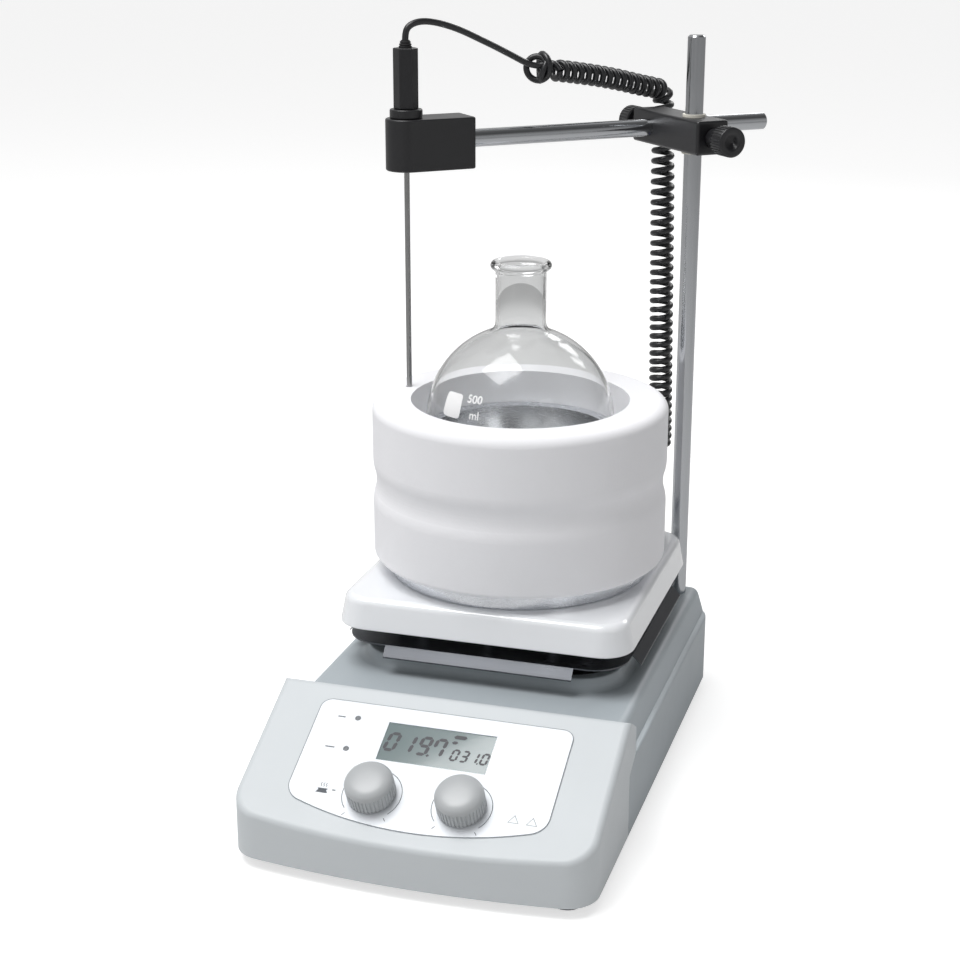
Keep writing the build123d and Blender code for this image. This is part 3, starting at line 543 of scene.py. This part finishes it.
def film_edge():
    """The film's own outer edge, read from its solid, as points in the panel's plane."""
    work = bmesh.new()
    work.from_mesh(nodes["panel_overlay"].data)
    bmesh.ops.remove_doubles(work, verts=work.verts, dist=1e-6)
    top = {f for f in work.faces if f.normal.dot(PANEL_OUT) > 0.999}
    rims = {e for e in work.edges if sum(f in top for f in e.link_faces) == 1}
    loops = []
    while rims:
        edge = rims.pop()
        loop = [edge.verts[0], edge.verts[1]]
        while True:
            onward = next((e for e in loop[-1].link_edges if e in rims), None)
            if onward is None:
                break
            rims.discard(onward)
            loop.append(onward.other_vert(loop[-1]))
        loops.append([PANEL.inverted() @ v.co for v in loop])
    work.free()
    outer = max(loops, key=lambda pts: max(p.x for p in pts) - min(p.x for p in pts))
    return outer[:-1] if (outer[0] - outer[-1]).length < 1e-6 else outer


def round_points(x, y, radius, start, end, steps=40):
    return [
        (x + radius * math.cos(math.radians(start + (end - start) * i / steps)),
         y + radius * math.sin(math.radians(start + (end - start) * i / steps)))
        for i in range(steps + 1)
    ]


film_line = joined([printed_line(film_edge(), 0.0004, closed=True)], "film_line")
settle(film_line, outline_grey, "base", PANEL, angle=0)

KNOB_PLACES = {"heat": -0.0235, "stir": 0.0235}
KNOB_S = 0.020
strokes = []
for x in KNOB_PLACES.values():
    strokes.append(printed_line(round_points(x, KNOB_S, 0.0153, -42, 222), 0.0004))
    for turn in (-52, 232):
        reach = math.radians(turn)
        strokes.append(printed_line([
            (x + 0.0165 * math.cos(reach), KNOB_S + 0.0165 * math.sin(reach)),
            (x + 0.0185 * math.cos(reach), KNOB_S + 0.0185 * math.sin(reach))], 0.0004))
CAPTIONS = ((-0.0545, 0.0646, 0.002), (-0.0545, 0.0449, 0.0025), (-0.0435, 0.0190, 0.0009))
for x, s, half in CAPTIONS:
    strokes.append(printed_line([(x - half, s), (x + half, s)], 0.0007))
HOB = (-0.0495, 0.0169)
for rise, half in ((0.0, 0.0030), (0.0007, 0.0026), (0.0014, 0.0022), (0.0021, 0.0026)):
    strokes.append(printed_line([(HOB[0] - half, HOB[1] + rise), (HOB[0] + half, HOB[1] + rise)], 0.0007))
for sway in (-0.0014, 0.0, 0.0014):
    strokes.append(printed_line([
        (HOB[0] + sway + 0.0003 * math.sin(i * 0.9), HOB[1] + 0.0034 + 0.0003 * i) for i in range(9)
    ], 0.0003))
SIGN_HALF = 0.0026
SIGN_FOOT = 0.0156
SIGN_TOP = 0.0200
for x in (0.0507, 0.0600):
    sign = [(x - SIGN_HALF, SIGN_FOOT), (x + SIGN_HALF, SIGN_FOOT), (x, SIGN_TOP)]
    strokes.append(printed_line(sign, 0.0005, closed=True))
panel_print = joined(strokes, "panel_print")
settle(panel_print, print_grey, "base", PANEL, angle=0)


# Display figures: seven-segment numbers that lean forward, large for the speed and small for
# the temperature, with two small flags above. Each lit bar is a thin pointed strip.

LIT = {"0": "abcdef", "1": "bc", "3": "abcdg", "7": "abcf", "9": "abcdfg"}
LCD_FACE = 0.00006
LCD_LINE = 0.0476
LEAN = 0.16


def bar(x, s, length, thick, upright):
    clear()
    bpy.ops.mesh.primitive_circle_add(vertices=6, radius=1, fill_type="NGON")
    strip = bpy.context.object
    half, flank = length / 2, thick / 2
    outline = [(half, 0), (half - flank, flank), (flank - half, flank),
               (-half, 0), (flank - half, -flank), (half - flank, -flank)]
    for corner, (u, v) in zip(strip.data.vertices, outline):
        u, v = (v, u) if upright else (u, v)
        corner.co = (x + u + LEAN * (s + v - LCD_LINE), s + v, LCD_FACE)
    if upright:
        strip.data.flip_normals()
    return strip


def figure(mark, x, s, wide, high, thick):
    gap = thick * 0.12
    across_bars = {"a": high, "g": high / 2, "d": 0.0}
    upright_bars = {"b": (wide, 0.75), "c": (wide, 0.25), "e": (0.0, 0.25), "f": (0.0, 0.75)}
    return [
        bar(x + wide / 2, s + across_bars[part], wide - gap, thick, False) if part in across_bars
        else bar(x + upright_bars[part][0], s + high * upright_bars[part][1], high / 2 - gap, thick, True)
        for part in LIT[mark]
    ]


bars = []
for mark, x in (("0", -0.0267), ("1", -0.0180), ("9", -0.0094), ("7", -0.0016)):
    bars += figure(mark, x, 0.0483, 0.0048, 0.0104, 0.0019)
for mark, x in (("0", 0.0090), ("3", 0.0142), ("1", 0.0194), ("0", 0.0248)):
    bars += figure(mark, x, 0.0473, 0.0030, 0.0064, 0.0012)
bars += [bar(-0.0030, 0.0480, 0.0019, 0.0018, False), bar(0.0236, 0.0472, 0.0012, 0.0012, False)]
bars += [bar(0.0088, 0.0617, 0.0072, 0.0023, False), bar(0.0073, 0.0581, 0.0034, 0.0019, False)]
lcd_figures = joined(bars, "lcd_figures")
bpy.context.view_layer.objects.active = lcd_figures
settle(lcd_figures, lcd_ink, "base", PANEL, angle=0)


# Knobs: turned-looking ABS caps, smooth and domed above, with vertical flutes round the skirt
# for grip. They press on to steel shafts with a nylon plunger under each.

KNOB_R = 0.0125
FLUTES = 40
knob_plastic = moulded("knob_plastic", srgb(178, 181, 183), 0.33, cloud=0.05, grain=2400.0, depth=0.05,
                       edge=0.1, Coat_Weight=0.1, Coat_Roughness=0.3)


def flute(piece, low, high, depth, margin):
    """Sinks every second side facet between two heights, which leaves a ring of grip flutes."""
    bpy.ops.object.mode_set(mode="OBJECT")
    sides = sorted(
        (f for f in piece.data.polygons if abs(f.normal.z) < 0.2 and low < f.center.z < high),
        key=lambda f: math.atan2(f.center.y, f.center.x))
    for face in piece.data.polygons:
        face.select = False
    for face in sides[::2]:
        face.select = True
    bpy.ops.object.mode_set(mode="EDIT")
    bpy.ops.mesh.select_mode(type="FACE")
    bpy.ops.mesh.inset(thickness=margin, depth=-depth, use_individual=True)
    bpy.ops.object.mode_set(mode="OBJECT")


def pick_end(piece, top=True):
    """Selects the cap of a piece, its highest or lowest flat face, in edit mode."""
    bpy.ops.object.mode_set(mode="OBJECT")
    for face in piece.data.polygons:
        face.select = False
    pick = max if top else min
    pick(piece.data.polygons, key=lambda f: (round(f.center.z, 6), f.area if top else -f.area)).select = True
    bpy.ops.object.mode_set(mode="EDIT")
    bpy.ops.mesh.select_mode(type="FACE")


def grow_cap(rings, radius):
    """Extrudes the selected cap through rings of radius and height."""
    was_radius, was_height = radius
    for ring_radius, height in rings:
        bpy.ops.mesh.extrude_region_move(TRANSFORM_OT_translate={"value": (0, 0, height - was_height)})
        share = ring_radius / was_radius
        bpy.ops.transform.resize(value=(share, share, 1))
        was_radius, was_height = ring_radius, height


knob_skirt_top = 0.0100
for control, x in KNOB_PLACES.items():
    clear()
    bpy.ops.mesh.primitive_cylinder_add(
        vertices=2 * FLUTES, radius=KNOB_R, depth=knob_skirt_top - 0.0014,
        location=(0, 0, (knob_skirt_top + 0.0014) / 2))
    knob = bpy.context.object
    knob.name = f"{control}_grip"
    bpy.ops.object.transform_apply(location=True)
    flute(knob, 0.0014, knob_skirt_top, 0.00045, 0.00012)
    pick_end(knob)
    grow_cap([(0.0124, 0.0102), (0.0123, 0.0104), (0.0121, 0.0110), (0.0116, 0.0118), (0.0108, 0.0125),
              (0.0096, 0.0131), (0.0080, 0.0135), (0.0060, 0.0138), (0.0036, 0.01395), (0.0012, 0.0140)],
             (KNOB_R, knob_skirt_top))
    pick_end(knob, top=False)
    bpy.ops.mesh.inset(thickness=0.0012)
    bpy.ops.mesh.extrude_region_move(TRANSFORM_OT_translate={"value": (0, 0, 0.004)})
    bpy.ops.object.mode_set(mode="OBJECT")
    settle(knob, knob_plastic, f"{control}_dial", PANEL @ Matrix.Translation((x, KNOB_S, 0)))
    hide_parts(f"{control}_knob")

shaft_steel = metal("shaft_steel", srgb(176, 178, 182), 0.25, scale=(1800, 1800, 1800))
nylon = moulded("nylon", srgb(222, 219, 208), 0.5, cloud=0.05, grain=900.0, depth=0.08)
dress(shaft_steel, "heat_shaft", "stir_shaft", "rotor_shaft")
dress(nylon, "heat_plunger", "stir_plunger")


# Electronics and the motor: green boards behind the panel and on the pan, black rotary encoders,
# and a flat motor on a bracket that spins two bar magnets under the plate.

board = moulded("board", srgb(28, 92, 58), 0.4, cloud=0.5, grain=700.0, depth=0.2, edge=0.4)
motor_steel = metal("motor_steel", srgb(128, 131, 136), 0.4, streak=0.2, scale=(700, 700, 700))
magnet = metal("magnet", srgb(96, 96, 102), 0.42, streak=0.25, scale=(500, 500, 500))
black_plastic = moulded("black_plastic", srgb(30, 31, 33), 0.45,
                        cloud=0.2, grain=1300.0, depth=0.14, edge=0.5)
aluminium = metal("aluminium", srgb(222, 224, 228), 0.2, streak=0.18, scale=(260, 260, 2600))
brass = metal("brass", (0.78, 0.58, 0.28, 1), 0.3, scale=(900, 900, 900))
dress(board, "circuit_boards")
dress(black_plastic, "encoder_bodies")
dress(motor_steel, "motor_stator", "motor_bracket", "rotor_bearings")
dress(magnet, "drive_magnets")
dress(aluminium, "magnet_carrier", "flask_block")


# Rear connections: a mains inlet with its fuse drawer, a rocker switch in a frame, and the round
# socket and plug of the probe's lead.

rocker_plastic = moulded("rocker_plastic", srgb(150, 28, 26), 0.35,
                         cloud=0.1, grain=1500.0, depth=0.06, edge=0.3)
dress(black_plastic, "mains_inlet", "fuse_drawer", "switch_frame", "sensor_plug")
dress(rocker_plastic, "power_rocker")
dress(brass, "sensor_socket")


# Hot plate: an enamelled aluminium casting on fourteen ceramic posts, above a polished tray that
# throws the heat back and a dark pan sunk in the housing's collar.

enamel = moulded("enamel", srgb(240, 242, 245), 0.14, cloud=0.02, grain=500.0, depth=0.03, edge=0.03,
                 Coat_Weight=0.7, Coat_Roughness=0.04)
# The polished tray's tint is made dark grey to paint in the reflection of the grey deck in front of it.
tray_steel = metal("tray_steel", srgb(92, 94, 98), 0.24, streak=0.1, scale=(40, 1600, 1600))
pan_dark = metal("pan_dark", srgb(104, 105, 108), 0.3, streak=0.15, scale=(40, 1200, 1200))
post_steel = metal("post_steel", srgb(150, 152, 156), 0.3)
mica = moulded("mica", srgb(206, 198, 178), 0.8, cloud=0.3, grain=500.0, depth=0.4)
dress(enamel, "heating_plate")
dress(tray_steel, "reflector_tray")
dress(pan_dark, "inner_pan")
dress(post_steel, "plate_posts", "rod_socket")
dress(mica, "plate_insulation")
dress(motor_steel, "heating_element")


# Insulating rings: two matt white rings of moulded fibre foam that sit round the flask block.
# They meet at a shallow waist, and their surface has a fine open grain.

ring_white = moulded("ring_white", srgb(240, 240, 243), 0.82, cloud=0.03, grain=420.0, depth=0.25,
                     spread=0.1, edge=0.02)
dress(ring_white, "lower_ring", "upper_ring")


# Flask: 500 ml of blown borosilicate glass, round below, with a short neck and a fire-polished
# bead round its mouth. The wall is 1.8 mm, its shadow is faint, and the capacity and a writing
# patch are fired on in white.

FLASK_MIDDLE = 0.1877
FLASK_R = 0.0525
GLASS_SHADOW = 0.12
NECK_TURN = (0.020, 0.24268)


def turned(name, profile, steps=96):
    """Spins a closed profile of radius and height about the stirring axis."""
    clear()
    bpy.ops.mesh.primitive_circle_add(vertices=len(profile), radius=1, fill_type="NOTHING")
    piece = bpy.context.object
    piece.name = name
    for corner, (radius, height) in zip(piece.data.vertices, profile):
        corner.co = (radius, 0, height)
    bpy.ops.object.mode_set(mode="EDIT")
    bpy.ops.mesh.select_all(action="SELECT")
    bpy.ops.mesh.spin(steps=steps, angle=2 * math.pi, center=(0, 0, 0), axis=(0, 0, 1))
    bpy.ops.mesh.select_all(action="SELECT")
    bpy.ops.mesh.remove_doubles(threshold=1e-6)
    bpy.ops.mesh.normals_make_consistent(inside=False)
    bpy.ops.object.mode_set(mode="OBJECT")
    return piece


def swept(middle, radius, start, end, steps):
    """Points of an arc in a profile, by its middle, its radius and two angles in degrees."""
    return [
        (middle[0] + radius * math.cos(math.radians(start + (end - start) * i / steps)),
         middle[1] + radius * math.sin(math.radians(start + (end - start) * i / steps)))
        for i in range(steps + 1)
    ]


ball = (0.0, FLASK_MIDDLE)
shoulder = math.degrees(math.acos(0.020 / 0.0585))
profile = (
    [(0.0, FLASK_MIDDLE - FLASK_R)]
    + swept(ball, FLASK_R, -88, shoulder, 44)
    + swept(NECK_TURN, 0.006, shoulder - 180, -180, 8)[1:]
    + [(0.0140, 0.2705)]
    + swept((0.0143, 0.2742), 0.0025, -70, 150, 12)
    + [(0.0122, 0.2740)]
    + swept(NECK_TURN, 0.0078, -180, shoulder - 180, 8)
    + swept(ball, FLASK_R - 0.0018, shoulder, -88, 44)[1:]
    + [(0.0, FLASK_MIDDLE - FLASK_R + 0.0018)]
)
flask_glass = bpy.data.materials.new("flask_glass")
flask_glass.use_nodes = True
glass_tree = flask_glass.node_tree
glass_body = glass_tree.nodes["Principled BSDF"]
glass_body.inputs["Transmission Weight"].default_value = 1.0
glass_body.inputs["IOR"].default_value = 1.3
glass_place = node(glass_tree, "ShaderNodeTexCoord").outputs["Object"]
glass_wave = node(glass_tree, "ShaderNodeTexNoise", None,
                  {"Vector": glass_place, "Scale": 30.0, "Detail": 1.0})
glass_tint = node(glass_tree, "ShaderNodeMix", {"data_type": "RGBA"}, {0: glass_wave.outputs["Fac"]})
glass_tint.inputs[6].default_value = (0.98, 0.99, 0.99, 1)
glass_tint.inputs[7].default_value = (1, 1, 1, 1)
glass_smear = node(glass_tree, "ShaderNodeMapRange", None,
                   {"Value": glass_wave.outputs["Fac"], "To Min": 0.0, "To Max": 0.03})
glass_bump = node(glass_tree, "ShaderNodeBump", None,
                  {"Strength": 0.05, "Distance": 0.0005, "Height": glass_wave.outputs["Fac"]})
glass_tree.links.new(glass_tint.outputs[2], glass_body.inputs["Base Color"])
glass_tree.links.new(glass_smear.outputs["Result"], glass_body.inputs["Roughness"])
glass_tree.links.new(glass_bump.outputs["Normal"], glass_body.inputs["Normal"])
glass_clear = node(glass_tree, "ShaderNodeMapRange", None,
                   {"Value": node(glass_tree, "ShaderNodeLightPath").outputs["Is Shadow Ray"],
                    "To Min": 1.0, "To Max": GLASS_SHADOW})
glass_tree.links.new(glass_clear.outputs["Result"], glass_body.inputs["Alpha"])

blown_flask = turned("blown_flask", profile)
settle(blown_flask, flask_glass, "flask_body", angle=60)
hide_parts("flask")

fired_white = moulded("fired_white", srgb(244, 244, 244), 0.5, cloud=0.05, grain=2000.0, depth=0.05, edge=0.0)


def on_flask(piece, turn, rise):
    """Wraps a flat mark round the flask: its middle goes to that bearing and height angle."""
    for corner in piece.data.vertices:
        up = math.radians(rise) + corner.co.y / FLASK_R
        round_by = math.radians(turn) + corner.co.x / (FLASK_R * math.cos(math.radians(rise)))
        out = FLASK_R + 0.00004
        corner.co = (out * math.cos(up) * math.cos(round_by), out * math.cos(up) * math.sin(round_by),
                     FLASK_MIDDLE + out * math.sin(up))
    return piece


def fired_text(words, size, turn, rise):
    clear()
    bpy.ops.object.text_add()
    text = bpy.context.object
    text.data.body = words
    text.data.size = size
    text.data.align_x = "CENTER"
    text.data.align_y = "CENTER"
    text.data.offset = 0.00012
    bpy.ops.object.convert(target="MESH")
    return on_flask(bpy.context.object, turn, rise)


def fired_patch(wide, high, turn, rise):
    clear()
    bpy.ops.mesh.primitive_grid_add(x_subdivisions=8, y_subdivisions=10, size=1)
    patch = bpy.context.object
    for corner in patch.data.vertices:
        u, v = 2 * corner.co.x, 2 * corner.co.y
        pull = 1 - 0.09 * (abs(u) * abs(v)) ** 6
        corner.co = (u * pull * wide / 2, v * pull * high / 2, 0)
    return on_flask(patch, turn, rise)


marks = [
    fired_text("500", 0.0062, -104.5, 24.2), fired_text("ml", 0.0062, -103.2, 14.8),
    fired_patch(0.0125, 0.0135, -121.1, 18.7),
]
flask_marks = joined(marks, "flask_marks")
settle(flask_marks, fired_white, "flask_body", angle=60)

ptfe = moulded("ptfe", srgb(242, 242, 238), 0.35, cloud=0.03, grain=1200.0, depth=0.05, Subsurface_Weight=0.1)
dress(ptfe, "stir_bar")


# Support rods: ground stainless bar, 10 mm thick, one upright in the housing and one level arm.
# Both are bright, with fine marks along their length; the probe's stem is thinner and duller.

ARM_TURN = math.radians(41.45)
rod_steel = metal("rod_steel", srgb(182, 184, 187), 0.1, streak=0.15, scale=(1600, 1600, 25))
arm_steel = metal("arm_steel", srgb(182, 184, 187), 0.1, streak=0.15, scale=(25, 1600, 1600),
                  turn=(0, 0, ARM_TURN))
stem_steel = metal("stem_steel", srgb(150, 150, 150), 0.22, streak=0.15, scale=(1800, 1800, 30))
dress(rod_steel, "support_rod")
dress(arm_steel, "arm_rod")
dress(stem_steel, "probe_stem")


# Clamp: a black cast block with a bush round the upright, and one fluted thumb screw for each
# rod. Each screw is a black moulded head on a steel stud with a brass pad at its tip.

clamp_black = moulded("clamp_black", srgb(24, 24, 27), 0.36, cloud=0.15, grain=1500.0, depth=0.12, edge=0.45,
                      Coat_Weight=0.1, Coat_Roughness=0.3)
dress(clamp_black, "clamp_block", "probe_holder", "probe_collar", "probe_handle")
dress(nylon, "rod_bush")
dress(brass, "rod_pad", "arm_pad")
CLAMP_MIDDLE = Vector((0.0762, 0.086, 0.3375))
BLOCK_WAY = Vector((-math.sin(ARM_TURN), math.cos(ARM_TURN), 0))


def thumb_screw(name, solid, body, tip, head_inner, sign):
    """A screw along the block: tip and the head's inner face are distances from the upright."""
    clear()
    bpy.ops.mesh.primitive_cylinder_add(vertices=60, radius=0.0083, depth=0.0094, location=(0, 0, 0.0055))
    screw = bpy.context.object
    screw.name = name
    bpy.ops.object.transform_apply(location=True)
    flute(screw, 0.0, 0.011, 0.00035, 0.00010)
    pick_end(screw)
    grow_cap([(0.0081, 0.0105), (0.0075, 0.0109), (0.0066, 0.0110), (0.0058, 0.0107), (0.0020, 0.0106)],
             (0.0083, 0.0102))
    pick_end(screw, top=False)
    stem = abs(tip - head_inner) / 1000
    grow_cap([(0.0077, 0.0002), (0.0056, 0.0), (0.0055, -0.0088), (0.0030, -0.0090), (0.0030, 0.0004 - stem),
              (0.0026, -stem)], (0.0083, 0.0008))
    bpy.ops.object.mode_set(mode="OBJECT")
    way = sign * BLOCK_WAY
    turned_to = way.to_track_quat("Z", "Y").to_matrix().to_4x4()
    middle = CLAMP_MIDDLE + BLOCK_WAY * (head_inner / 1000)
    settle(screw, clamp_black, body, Matrix.Translation(middle) @ turned_to)
    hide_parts(solid)


thumb_screw("rod_thumb_screw", "rod_screw", "rod_thumb", -8.6, -31, -1)
thumb_screw("arm_thumb_screw", "arm_screw", "arm_thumb", 41.1, 63, 1)


# Strain relief: a soft black boot with three grooves, moulded round the lead where it leaves
# the probe's handle.

boot_profile = [(0.0019, 0.3880), (0.0036, 0.3880), (0.0036, 0.3888), (0.0030, 0.3891), (0.0034, 0.3895),
                (0.0033, 0.3901), (0.0027, 0.3904), (0.0030, 0.3908), (0.0029, 0.3914), (0.0024, 0.3916),
                (0.0024, 0.3920), (0.0019, 0.3920)]
boot_rubber = moulded("boot_rubber", srgb(22, 22, 24), 0.6, cloud=0.2, grain=1500.0, depth=0.15, edge=0.3)
lead_relief = turned("lead_relief", boot_profile, steps=40)
settle(lead_relief, boot_rubber, "probe", Matrix.Translation((-0.0671, 0.0048, 0)))
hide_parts("lead_boot")
